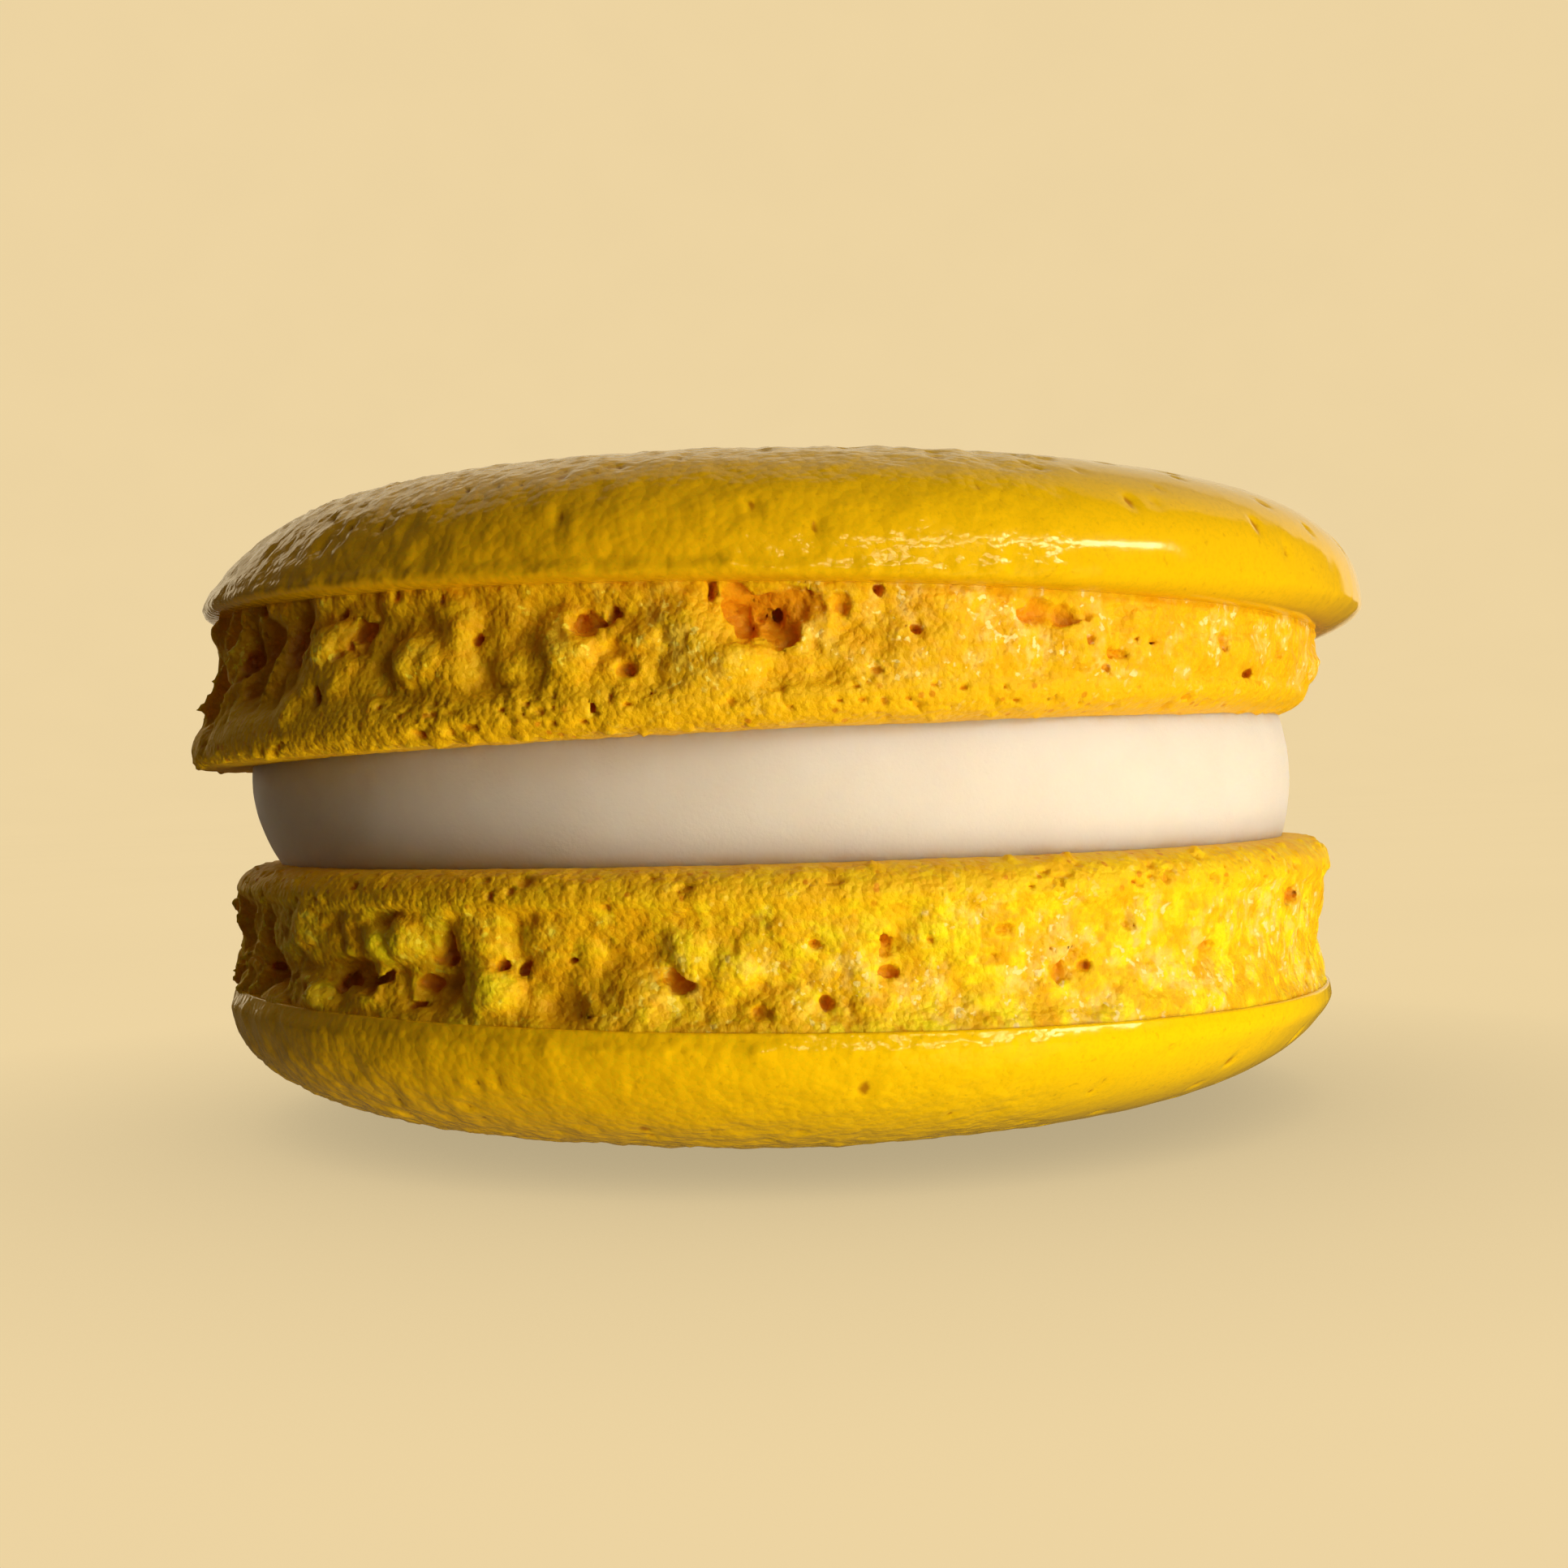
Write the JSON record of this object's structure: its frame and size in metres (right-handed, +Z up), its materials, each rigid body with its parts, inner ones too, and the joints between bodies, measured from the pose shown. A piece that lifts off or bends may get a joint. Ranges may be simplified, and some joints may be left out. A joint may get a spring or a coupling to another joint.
{
  "type": "french macaron",
  "caption": "Round filled almond biscuit: smooth domed yellow meringue shells with ragged crumb feet, pressed together on a layer of pale cream.",
  "frame": {"origin": "centre of the small flat spot under the lower shell, on the surface that the macaron lies on", "axes": "+Z up through both shells, -Y towards the front, +X to the right as seen from the front"},
  "size_m": [0.0456, 0.0446, 0.0238],
  "materials": {
    "meringue": "thin baked crust with a soft gloss on the caps, dry porous crumb on the feet",
    "cream": "smooth matt buttercream, faintly grainy"
  },
  "bodies": {
    "root": {"upper_shell": "meringue", "cream": "cream", "lower_shell": "meringue"}
  },
  "joints": []
}
